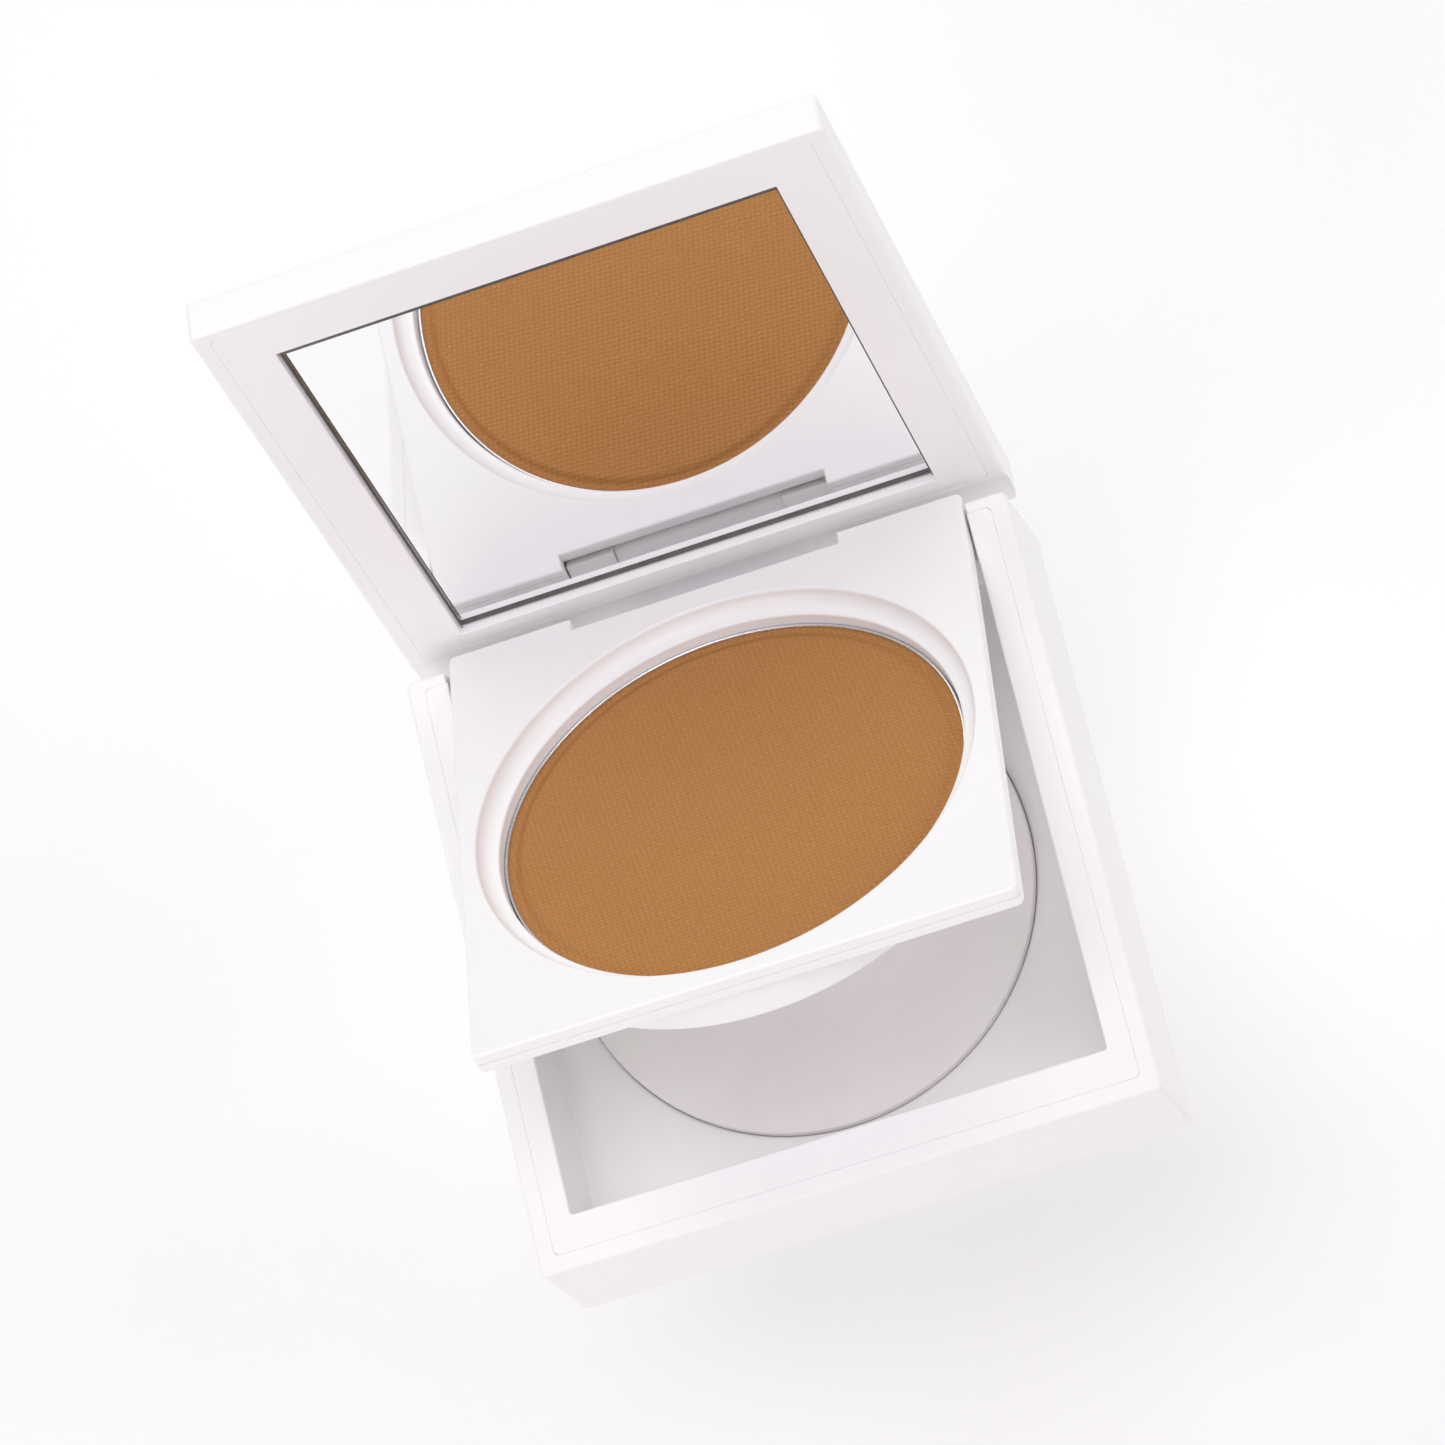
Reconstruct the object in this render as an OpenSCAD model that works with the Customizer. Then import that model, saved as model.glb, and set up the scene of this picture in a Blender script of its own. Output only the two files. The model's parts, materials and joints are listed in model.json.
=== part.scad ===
// Square powder compact. A mirrored lid and a lift-up powder tray turn on one
// hinge pin at the back, and a base holds a round sponge below the tray.
// Millimetres. The origin is the centre of the base's underside, +X is to the
// right, +Y points back to the hinge and +Z is up. Every part is drawn in the
// closed case; the lid and the tray are then turned open about the pin.

/* [Case] */
// Width of the case, left to right
case_w = 79; // [78:0.5:84]
// Depth of the case, front to back
case_d = 79; // [79:0.5:84]
// Height of the base, underside to rim
base_h = 18; // [18:0.5:20]
// Thickness of the lid
lid_h = 5.6; // [5.6:0.2:7]
// Radius of the case's upright corners
corner_r = 0.8; // [0.4:0.1:1.2]
// Wall of the base shell at the front and sides
shell_wall = 2.2; // [1.8:0.1:2.4]
// Wall of the base shell at the back
shell_back_wall = 1.5; // [1.3:0.1:1.6]

/* [Tray] */
// Thickness of the tray's plate
tray_t = 3; // [2.8:0.1:3.2]
// Radius of the round hole in the tray's top
tray_hole_r = 31.8; // [31.6:0.1:31.9]
// Width of the notch at the tray's back edge
tray_notch_w = 35.2; // [35:0.1:35.4]
// Depth of the notch at the tray's back edge
tray_notch_d = 2.05; // [1.8:0.05:2.2]

/* [Powder] */
// Outside diameter of the metal pan
pan_d = 59; // [57:0.5:59]
// Outside height of the metal pan
pan_h = 3.5; // [3:0.05:3.6]
// Depth of the powder's surface below the top of the tray
powder_drop = 4; // [3.9:0.05:4.1]

/* [Mirror] */
// Side of the square mirror
mirror_w = 62.4; // [56:0.2:62.4]
// Thickness of the mirror glass
mirror_t = 1.2; // [1:0.1:1.2]
// Depth of the mirror's face below the lid's inner plane
mirror_recess = 0.75; // [0.3:0.05:0.8]

/* [Sponge] */
// Diameter of the sponge
sponge_d = 58; // [50:1:58]
// Thickness of the sponge
sponge_h = 4.4; // [3:0.1:5]
// Depth of the round pocket that the sponge lies in
pocket_depth = 3.4; // [2.5:0.1:3.4]

/* [Hinge] */
// Diameter of the steel hinge pin
pin_d = 1.5; // [1.2:0.1:1.6]
// Diameter of the hinge knuckles
knuckle_d = 4.4; // [4:0.1:4.4]
// Width of the lug on the lid, between the base's two knuckles
lug_w = 22; // [20:0.5:22]

/* [Pose] */
// Angle that the lid is opened to, 0 when closed
lid_open = 105; // [0:1:115]

/* [Hidden] */

$fn = 96;
cut = 1;              // overshoot of a cutting tool past the face that it opens
seam = 0.1;           // visible gap between a shell and the part set into it
side = [-1, 1];       // left and right

// The tray follows the lid by this share of the lid's angle
tray_share = 28.7 / 105;
tray_open = lid_open * tray_share;

// Hinge axis, parallel to X
hinge_y = case_d / 2 - 2.7;
hinge_z = base_h - 6;
pin_r = pin_d / 2;
running_gap = 0.05;   // radial, between the pin and the parts that turn on it
end_gap = 0.3;        // along the pin, between neighbouring knuckles
knuckle_r = knuckle_d / 2;
knuckle_x0 = lug_w / 2 + end_gap;
knuckle_x1 = tray_notch_w / 2 - 0.1;
ear_x0 = knuckle_x1 + end_gap;
ear_w = 4.5;
ear_x1 = ear_x0 + ear_w;
back_wall_top = base_h - 3.6;
liner_back_top = hinge_z + 1.2;  // low enough for the back of the powder cup to swing over
lug_slot_floor = hinge_z - 4.4;
ear_slot_floor = hinge_z - 2.6;
slot_gap = 0.15;      // beside each knuckle where it passes the back wall

// Base
floor_t = 1.2;
rim_side = 5.3;       // outer face to the well's side wall
rim_front = 6.7;      // outer face to the well's front wall
well_x = case_w / 2 - rim_side;
well_y0 = -case_d / 2 + rim_front;
well_y1 = hinge_y - 3.2;
well_floor = base_h - 12.55;
pocket_r = 30;
pocket_y = 1.3;
pocket_z = well_floor - pocket_depth;
liner_skin = 1.2;
hinge_room_y0 = hinge_y - knuckle_r - 0.2;
hinge_room_z = hinge_z - 3.6;
hinge_room_x = ear_x1 + 0.5;
notch_x = well_x + 0.2;
nib_r = 0.4;          // small ribs that keep the sponge from dropping out

// Tray
tray_gap = 0.3;       // around the tray, inside the well
tray_x = well_x - tray_gap;
tray_y0 = well_y0 + tray_gap;
tray_y1 = case_d / 2 - 0.1;
tray_z1 = base_h - 0.1;
tray_mid = tray_z1 - tray_t / 2;
tray_z0 = tray_z1 - tray_t;
tray_corner_r = 1;
tray_edge_r = 0.4;    // soft round at the top of the hole
tray_cove_r = 1.9;    // hollow curve from the hole's wall to the ledge
ledge_edge_r = 0.3;   // soft round where the ledge drops to the pan
tray_relief_r = 3.8;  // clears the back wall as the tray turns
pan_y = 1.85;
cup_y = 0.8;
pan_r = pan_d / 2;
pan_wall = 0.35;
pan_floor = 0.4;
glue_t = 0.15;
powder_z = tray_z1 - powder_drop;
pan_top = powder_z + 0.15;
pan_z = pan_top - pan_h;
ledge_z = tray_z1 - 2.4;
pan_hole_r = pan_r + 0.2;
collar_r = tray_hole_r + 0.5;  // flange of the top plate that carries the cove
collar_z = ledge_z - 0.3;
neck_r = pan_hole_r + 1.2;     // ring of the top plate that stands round the pan
neck_z = pan_top - 0.5;
joint_gap = 0.05;              // between the two halves of the tray
cup_r = 32.5;
cup_z = pan_z - glue_t - 0.8;

// Lid
lid_gap = 0.1;
lid_z0 = base_h + lid_gap;
lid_z1 = lid_z0 + lid_h;
lid_skin = 1.4;
lid_wall = 2;
lid_front_wall = 1.6;
lid_relief_r = 6.75;  // clears the base's back corners as the lid turns
frame_y1 = hinge_y - 3.4;
mirror_gap = 0.2;
mirror_y = -0.6;
mirror_glue_t = 0.25;
mirror_pocket = mirror_recess + mirror_t + mirror_glue_t;

// Closure magnets, one pair on each side of the front edge
magnet_d = 3;
magnet_h = 2;
magnet_x = 20;
magnet_y = -case_d / 2 + 4.45;
magnet_cover = 0.6;

// ---------------------------------------------------------------- helpers

// Rectangle, centred on x and from y0 to y1, with round corners
module round_rect(half_w, y0, y1, r) {
    translate([-half_w + r, y0]) square([2 * (half_w - r), y1 - y0]);
    translate([-half_w, y0 + r]) square([2 * half_w, y1 - y0 - 2 * r]);
    for (x = [-half_w + r, half_w - r], y = [y0 + r, y1 - r])
        translate([x, y]) circle(r);
}

// Plate with upright round corners, from z0 to z1
module slab(half_w, y0, y1, z0, z1, r) {
    translate([0, 0, z0]) linear_extrude(z1 - z0) round_rect(half_w, y0, y1, r);
}

// Plain block given by its limits
module block(x0, x1, y0, y1, z0, z1) {
    translate([x0, y0, z0]) cube([x1 - x0, y1 - y0, z1 - z0]);
}

module disc(r, y, z0, z1) {
    translate([0, y, z0]) cylinder(r = r, h = z1 - z0);
}

// Round bar on the hinge axis, from x0 to x1
module hinge_bar(r, x0, x1) {
    translate([x0, hinge_y, hinge_z]) rotate([0, 90, 0]) cylinder(r = r, h = x1 - x0);
}

// Extrudes a hinge profile, drawn as [back from the pin, up from the pin], from x0 to x1
module hinge_profile(x0, x1) {
    translate([x0, hinge_y, hinge_z]) rotate([90, 0, 90]) linear_extrude(x1 - x0) children();
}

module both_sides() {
    children();
    mirror([1, 0, 0]) children();
}

// Turns closed parts open about the hinge pin
module opened(angle) {
    translate([0, hinge_y, hinge_z]) rotate([-angle, 0, 0])
        translate([0, -hinge_y, -hinge_z]) children();
}

module magnet_pair(z0, d, h) {
    for (s = side) translate([s * magnet_x, magnet_y, z0]) cylinder(d = d, h = h);
}

// ---------------------------------------------------------------- base

module base_knuckle() {
    hinge_bar(knuckle_r, knuckle_x0, knuckle_x1);
    hinge_profile(knuckle_x0, knuckle_x1)
        translate([0, -knuckle_r]) square([1.8, 2 * knuckle_r]);
}

module base_shell() {
    color("ghostwhite") difference() {
        union() {
            difference() {
                slab(case_w / 2, -case_d / 2, case_d / 2, 0, base_h, corner_r);
                slab(case_w / 2 - shell_wall, -case_d / 2 + shell_wall,
                     case_d / 2 - shell_back_wall, floor_t, base_h + cut, corner_r);
                // room for the back of the tray, then slots for the lug and the ears
                block(-notch_x, notch_x, hinge_y, case_d / 2 + cut,
                      back_wall_top, base_h + cut);
                block(-knuckle_x0, knuckle_x0, hinge_y, case_d / 2 + cut,
                      lug_slot_floor, base_h);
                both_sides()
                    block(knuckle_x1 + slot_gap, ear_x1 + end_gap, hinge_y,
                          case_d / 2 + cut, ear_slot_floor, base_h);
            }
            both_sides() base_knuckle();
        }
        hinge_bar(pin_r, -ear_x1, ear_x1);
    }
}

// Inner moulding of the base: rim, well, sponge pocket and hinge room
module base_liner() {
    liner_x = case_w / 2 - shell_wall - seam;
    liner_y0 = -case_d / 2 + shell_wall + seam;
    liner_y1 = case_d / 2 - shell_back_wall - seam;
    color("white") {
        difference() {
            slab(liner_x, liner_y0, liner_y1, floor_t, base_h, corner_r - seam);
            // well, with the low back wall that the tray passes over
            block(-well_x, well_x, well_y0, well_y1, well_floor, base_h + cut);
            block(-notch_x, notch_x, well_y1 - cut, liner_y1 + cut,
                  liner_back_top, base_h + cut);
            disc(pocket_r, pocket_y, pocket_z, base_h);
            block(-hinge_room_x, hinge_room_x, hinge_room_y0, liner_y1 + cut,
                  hinge_room_z, base_h);
            // hollow underside, outside the pocket's wall
            difference() {
                block(-well_x, well_x, well_y0, well_y1, floor_t - cut, well_floor - liner_skin);
                disc(pocket_r + liner_skin, pocket_y, 0, base_h);
            }
            // magnet bores, open below
            magnet_pair(floor_t - cut, magnet_d, base_h - magnet_cover - floor_t + cut);
        }
        for (s = side) intersection() {
            translate([s * pocket_r, pocket_y, pocket_z])
                cylinder(r = nib_r, h = pocket_depth - 0.6);
            disc(pocket_r + 0.2, pocket_y, pocket_z, well_floor);
        }
    }
}

module sponge() {
    color("mistyrose") translate([-0.5, pocket_y - 0.4, pocket_z])
        cylinder(d = sponge_d, h = sponge_h);
}

module hinge_pin() {
    color("silver") hinge_bar(pin_r, -ear_x1, ear_x1);
}

module base_magnets() {
    color("dimgray") magnet_pair(base_h - magnet_cover - magnet_h, magnet_d, magnet_h);
}

// ---------------------------------------------------------------- lid

// Web and knuckle that carry the lid on the pin
module lid_lug() {
    hinge_bar(knuckle_r, -lug_w / 2, lug_w / 2);
    hinge_profile(-lug_w / 2, lug_w / 2)
        polygon([[1.1, 0], [1.8, -1], [2.6, 0.6], [2.6, 7], [1.1, 7]]);
}

module lid_shell() {
    color("ghostwhite") opened(lid_open) difference() {
        union() {
            difference() {
                slab(case_w / 2, -case_d / 2, case_d / 2, lid_z0, lid_z1, corner_r);
                slab(case_w / 2 - lid_wall, -case_d / 2 + lid_front_wall, frame_y1,
                     lid_z0 - cut, lid_z1 - lid_skin, corner_r);
                hinge_bar(lid_relief_r, -case_w / 2 - cut, case_w / 2 + cut);
            }
            lid_lug();
        }
        hinge_bar(pin_r + running_gap, -case_w / 2, case_w / 2);
    }
}

module mirror_frame() {
    frame_x = case_w / 2 - lid_wall - seam;
    frame_y0 = -case_d / 2 + lid_front_wall + seam;
    frame_z1 = lid_z1 - lid_skin;
    mirror_half = mirror_w / 2 + mirror_gap;
    hollow_z = lid_z0 + mirror_pocket + 1;
    color("white") opened(lid_open) difference() {
        slab(frame_x, frame_y0, frame_y1 - seam, lid_z0, frame_z1, corner_r - seam);
        hinge_bar(lid_relief_r, -case_w / 2, case_w / 2);
        block(-mirror_half, mirror_half, mirror_y - mirror_half, mirror_y + mirror_half,
              lid_z0 - cut, lid_z0 + mirror_pocket);
        // hollow back, in two bays with a rib between them
        both_sides() block(1, mirror_half, mirror_y - mirror_half,
                           mirror_y + mirror_half, hollow_z, frame_z1 + cut);
        magnet_pair(lid_z0 + magnet_cover, magnet_d, lid_h);
    }
}

module mirror_plate(half, z0, z1) {
    opened(lid_open) block(-half, half, mirror_y - half, mirror_y + half, z0, z1);
}

module mirror_glass() {
    color("lightsteelblue") mirror_plate(mirror_w / 2, lid_z0 + mirror_recess,
                                         lid_z0 + mirror_recess + mirror_t);
}

module mirror_adhesive() {
    color("dimgray") mirror_plate(mirror_w / 2 - 2, lid_z0 + mirror_recess + mirror_t,
                                  lid_z0 + mirror_pocket);
}

module lid_magnets() {
    color("dimgray") opened(lid_open)
        magnet_pair(lid_z0 + magnet_cover, magnet_d, magnet_h);
}

// ---------------------------------------------------------------- tray

// Notch that lets the lid's lug and the base's knuckles stand behind the tray
module tray_notch() {
    block(-tray_notch_w / 2, tray_notch_w / 2, tray_y1 - tray_notch_d, tray_y1 + cut,
          tray_z0 - cut, tray_z1 + cut);
}

// Space above the pan: a round top edge, a cove, a narrow ledge and a drop to the pan
module hole_space() {
    cove_x = tray_hole_r - tray_cove_r;
    translate([0, pan_y, 0]) rotate_extrude() {
        difference() {
            translate([0, ledge_z]) square([tray_hole_r + tray_edge_r, tray_z1 + cut - ledge_z]);
            translate([tray_hole_r, ledge_z])
                square([tray_edge_r + cut, tray_z1 - tray_edge_r - ledge_z]);
            translate([tray_hole_r + tray_edge_r, tray_z1 - tray_edge_r]) circle(tray_edge_r);
            difference() {
                translate([cove_x, ledge_z]) square([tray_cove_r + cut, tray_cove_r]);
                translate([cove_x, ledge_z + tray_cove_r]) circle(tray_cove_r);
            }
        }
        difference() {
            translate([0, ledge_z - ledge_edge_r])
                square([pan_hole_r + ledge_edge_r, ledge_edge_r + joint_gap]);
            translate([pan_hole_r + ledge_edge_r, ledge_z - ledge_edge_r]) circle(ledge_edge_r);
        }
    }
}

module tray_top() {
    color("white") opened(tray_open) difference() {
        union() {
            slab(tray_x, tray_y0, tray_y1, tray_mid, tray_z1, tray_corner_r);
            disc(collar_r, pan_y, collar_z, tray_z1);
            disc(neck_r, pan_y, neck_z, tray_z1);
        }
        hole_space();
        disc(pan_hole_r, pan_y, neck_z - cut, tray_z1);
        tray_notch();
    }
}

// One of the two ears that carry the tray on the pin
module tray_ear() {
    hinge_bar(knuckle_r, ear_x0, ear_x1);
    hinge_profile(ear_x0, ear_x1)
        polygon([[-2.1, 0], [2.1, 0], [1.6, tray_relief_r + 0.5], [-2.1, tray_relief_r + 0.5]]);
}

module tray_underside() {
    reveal = 0.15;  // shadow line between the two halves of the tray
    color("white") opened(tray_open) difference() {
        union() {
            difference() {
                union() {
                    slab(tray_x, tray_y0, tray_y1, tray_z0, tray_mid - reveal, tray_corner_r);
                    slab(tray_x - reveal, tray_y0 + reveal, tray_y1 - reveal, tray_z0,
                         tray_mid, tray_corner_r);
                    disc(cup_r, cup_y, cup_z, tray_mid);
                }
                disc(collar_r + joint_gap, pan_y, collar_z - joint_gap, tray_mid + cut);
                disc(neck_r + joint_gap, pan_y, neck_z - joint_gap, tray_mid + cut);
                disc(pan_r + 0.15, pan_y, pan_z - glue_t, tray_mid + cut);
                hinge_bar(tray_relief_r, -case_w / 2, case_w / 2);
                tray_notch();
            }
            both_sides() tray_ear();
        }
        hinge_bar(pin_r + running_gap, -case_w / 2, case_w / 2);
    }
}

module powder_pan() {
    color("silver") opened(tray_open) difference() {
        disc(pan_r, pan_y, pan_z, pan_top);
        disc(pan_r - pan_wall, pan_y, pan_z + pan_floor, pan_top + cut);
    }
}

module pan_adhesive() {
    color("gainsboro") opened(tray_open) disc(pan_r - 6, pan_y, pan_z - glue_t, pan_z);
}

module pressed_powder() {
    color("peru") opened(tray_open)
        disc(pan_r - pan_wall, pan_y, pan_z + pan_floor, powder_z);
}

base_shell();
base_liner();
sponge();
hinge_pin();
base_magnets();
lid_shell();
mirror_frame();
mirror_glass();  // mirror
mirror_adhesive();
lid_magnets();
tray_top();
tray_underside();
powder_pan();
pan_adhesive();
pressed_powder();
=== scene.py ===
"""Looks of a square powder compact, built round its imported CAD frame.

Each moulded piece is drawn in millimetres in the closed case, as the CAD draws it. It is
then scaled to metres, turned open about the hinge with its body, and rides on that body.
"""

import json
import math

import bmesh
import bpy
import numpy as np
from mathutils import Matrix, Vector

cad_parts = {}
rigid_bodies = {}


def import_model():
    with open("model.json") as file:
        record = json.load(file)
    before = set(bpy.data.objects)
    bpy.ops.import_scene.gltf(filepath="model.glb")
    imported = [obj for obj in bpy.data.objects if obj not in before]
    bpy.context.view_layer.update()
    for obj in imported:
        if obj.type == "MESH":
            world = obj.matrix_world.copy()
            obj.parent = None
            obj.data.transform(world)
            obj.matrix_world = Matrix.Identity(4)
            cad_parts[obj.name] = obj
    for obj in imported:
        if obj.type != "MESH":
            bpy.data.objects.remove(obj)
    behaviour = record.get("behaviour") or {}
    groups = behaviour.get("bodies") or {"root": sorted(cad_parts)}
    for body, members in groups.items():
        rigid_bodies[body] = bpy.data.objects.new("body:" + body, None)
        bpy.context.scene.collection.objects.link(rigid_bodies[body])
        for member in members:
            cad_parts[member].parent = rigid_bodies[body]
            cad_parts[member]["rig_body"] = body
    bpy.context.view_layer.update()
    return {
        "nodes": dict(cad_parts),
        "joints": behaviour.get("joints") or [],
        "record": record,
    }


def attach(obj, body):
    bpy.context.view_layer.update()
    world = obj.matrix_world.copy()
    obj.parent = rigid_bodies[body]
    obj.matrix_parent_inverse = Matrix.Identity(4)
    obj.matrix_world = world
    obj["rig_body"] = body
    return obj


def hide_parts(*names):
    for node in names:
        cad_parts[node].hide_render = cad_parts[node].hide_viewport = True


for default_object in list(bpy.data.objects):
    bpy.data.objects.remove(default_object)
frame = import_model()

MM = 0.001
scene = bpy.context.scene


# ------------------------------------------------------------------ the frame's own sizes

JOINTS = {joint["name"]: joint for joint in frame["joints"]}
HINGE = Vector(JOINTS["lid_hinge"]["pos_m"])
HINGE_Y, HINGE_Z = HINGE.y / MM, HINGE.z / MM
LID_OPEN = -math.radians(JOINTS["lid_hinge"]["range_deg"][0])
TRAY_SHARE = frame["record"]["behaviour"]["couplings"][0]["ratio"]
OPEN_ANGLE = {"base": 0, "sponge": 0, "lid": LID_OPEN, "tray": LID_OPEN * TRAY_SHARE}


def opening(body):
    """Turns a closed body open, about the hinge pin."""
    turn = Matrix.Rotation(-OPEN_ANGLE[body], 4, "X")
    return Matrix.Translation(HINGE) @ turn @ Matrix.Translation(-HINGE)


class Limits:
    """Lowest and highest corner of a CAD node in the closed case, in millimetres."""

    def __init__(self, node):
        obj = frame["nodes"][node]
        closed = opening(obj["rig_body"]).inverted()
        points = np.array([closed @ v.co for v in obj.data.vertices]) / MM
        self.x0, self.y0, self.z0 = (float(v) for v in points.min(0))
        self.x1, self.y1, self.z1 = (float(v) for v in points.max(0))
        self.mid_y = (self.y0 + self.y1) / 2


CASE = Limits("base_shell")
LINER = Limits("base_liner")
LID = Limits("lid_shell")
FRAME = Limits("mirror_frame")
GLASS = Limits("mirror")
TRAY = Limits("tray_top")
UNDER = Limits("tray_underside")
PAN = Limits("powder_pan")
POWDER = Limits("pressed_powder")
SPONGE = Limits("sponge")
PIN = Limits("hinge_pin")

# Sizes that no box gives, in millimetres, as the CAD has them but where a comment differs
SEAM = 0.1
CORNER_R = 0.8
RECESS_CORNER_R = CORNER_R - 0.05
CUT_X = 40           # half the length of a cut right across the case
FLOOR_T = 1.2
BACK_WALL_TOP = CASE.z1 - 3.6
LINER_BACK_TOP = HINGE_Z + 1.2
TRAY_GAP = 0.3
WELL_X = TRAY.x1 + TRAY_GAP
WELL_Y0 = TRAY.y0 - TRAY_GAP
WELL_Y1 = HINGE_Y - 3.2
WELL_FLOOR = CASE.z1 - 12.55
WELL_CORNER_R = 0.4
POCKET_R = 30
POCKET_Y = 1.3
POCKET_Z = SPONGE.z0
NOTCH_X = WELL_X + 0.2
LUG_SLOT_FLOOR = HINGE_Z - 4.4
EAR_SLOT_FLOOR = HINGE_Z - 2.6
LINER_SLOT_FLOOR = HINGE_Z - 3.6
PIN_R = (PIN.y1 - PIN.y0) / 2
KNUCKLE_R = 2.2
PIN_BORE_X = 30      # reach of a bore for the pin, past every knuckle
PIN_PLAY = 0.05
LUG_X = 11.24        # the CAD's is 11: this one fills its slot but for a hairline
KNUCKLE_X0 = 11.3
KNUCKLE_X1 = 17.5
END_GAP = 0.3
EAR_X0 = KNUCKLE_X1 + END_GAP
EAR_X1 = PIN.x1
TRAY_MID = TRAY.z1 - 1.5
TRAY_BOTTOM = TRAY.z1 - 3
TRAY_CORNER_R = 1
TRAY_RELIEF_R = 3.8
TRAY_RELIEF_STEPS = 96
TRAY_NOTCH_X = 17.6
TRAY_NOTCH_D = 2.05
HOLE_R = 31.8
HOLE_EDGE_R = 0.4
COVE_R = 1.9
COLLAR_R = HOLE_R + 0.5
LEDGE_Z = TRAY.z1 - 2.4
COLLAR_Z = LEDGE_Z - 0.3
LEDGE_EDGE_R = 0.3
PAN_R = (PAN.x1 - PAN.x0) / 2
PAN_HOLE_R = PAN_R + 0.2
PAN_SEAT_R = PAN_R + 0.15
NECK_R = PAN_HOLE_R + 1.2
JOINT_GAP = 0.05
CUP_R = 32.5
CUP_Y = 0.8
POWDER_R = (POWDER.x1 - POWDER.x0) / 2
LID_SKIN = 1.4
LID_WALL = 2
LID_FRONT_WALL = 1.6
LID_RELIEF_R = 6.75
LID_RELIEF_STEPS = 144
LID_Z0 = FRAME.z0
REVEAL = 0.15
MIRROR_GAP = 0.2

ROUND_STEPS = 192    # segments in a large circle
CORNER_STEPS = 8     # segments in a quarter turn of a small corner


# ------------------------------------------------------------------ drawing solids

def arc(cx, cy, r, start, end, steps):
    """Points along an arc, from start to end in degrees, both ends included."""
    turns = [math.radians(start + (end - start) * i / steps) for i in range(steps + 1)]
    return [(cx + r * math.cos(t), cy + r * math.sin(t)) for t in turns]


def round_rect(half_x, y0, y1, r):
    """Outline of a rectangle centred on x = 0, with round corners."""
    corners = [(half_x - r, y1 - r), (r - half_x, y1 - r),
               (r - half_x, y0 + r), (half_x - r, y0 + r)]
    outline = []
    for quarter, (cx, cy) in enumerate(corners):
        outline += arc(cx, cy, r, 90 * quarter, 90 * quarter + 90, CORNER_STEPS)
    return outline


def extrude(outline, low, high, place):
    """Prism of an outline between two heights; place turns (u, v, height) into a point."""
    bm = bmesh.new()
    loops = [[bm.verts.new(place(u, v, h)) for u, v in outline] for h in (low, high)]
    bm.faces.new(loops[0][::-1])
    bm.faces.new(loops[1])
    for i in range(len(outline)):
        j = (i + 1) % len(outline)
        bm.faces.new((loops[0][i], loops[0][j], loops[1][j], loops[1][i]))
    bmesh.ops.recalc_face_normals(bm, faces=bm.faces)
    return bm


def prism(outline, z0, z1):
    return extrude(outline, z0, z1, lambda u, v, h: (u, v, h))


def block(x0, x1, y0, y1, z0, z1):
    return prism([(x0, y0), (x1, y0), (x1, y1), (x0, y1)], z0, z1)


def hinge_prism(outline, x0, x1):
    """Prism along X of an outline drawn as (back from the pin, up from the pin)."""
    return extrude(outline, x0, x1, lambda u, v, h: (h, HINGE_Y + u, HINGE_Z + v))


def hinge_bar(r, x0, x1, steps=48):
    return hinge_prism(arc(0, 0, r, 0, 360, steps)[:-1], x0, x1)


def lathe(profile, cx, cy, steps=ROUND_STEPS):
    """Solid of revolution of a profile of (radius, height), closed on the upright axis."""
    bm = bmesh.new()
    rings = []
    for r, z in profile:
        if r < 1e-6:
            rings.append([bm.verts.new((cx, cy, z))] * steps)
            continue
        turns = [2 * math.pi * i / steps for i in range(steps)]
        rings.append([bm.verts.new((cx + r * math.cos(t), cy + r * math.sin(t), z)) for t in turns])
    for low, high in zip(rings, rings[1:] + rings[:1]):
        for i in range(steps):
            j = (i + 1) % steps
            corners = list(dict.fromkeys((low[i], low[j], high[j], high[i])))
            if len(corners) > 2:
                bm.faces.new(corners)
    bmesh.ops.recalc_face_normals(bm, faces=bm.faces)
    return bm


def disc(r, cx, cy, z0, z1, steps=ROUND_STEPS):
    outline = [(cx + x, cy + y) for x, y in arc(0, 0, r, 0, 360, steps)[:-1]]
    return prism(outline, z0, z1)


def both_sides(make, x0, x1):
    """The solid made between x0 and x1, and its mirror image."""
    return [make(x0, x1), make(-x1, -x0)]


# ------------------------------------------------------------------ joining and rounding

def as_object(bm, name="tool"):
    mesh = bpy.data.meshes.new(name)
    bm.to_mesh(mesh)
    bm.free()
    obj = bpy.data.objects.new(name, mesh)
    scene.collection.objects.link(obj)
    return obj


def applied(obj):
    """A bmesh of the object with its modifiers applied; the object is removed."""
    graph = bpy.context.evaluated_depsgraph_get()
    bm = bmesh.new()
    bm.from_mesh(obj.evaluated_get(graph).to_mesh())
    bpy.data.objects.remove(obj)
    return bm


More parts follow.
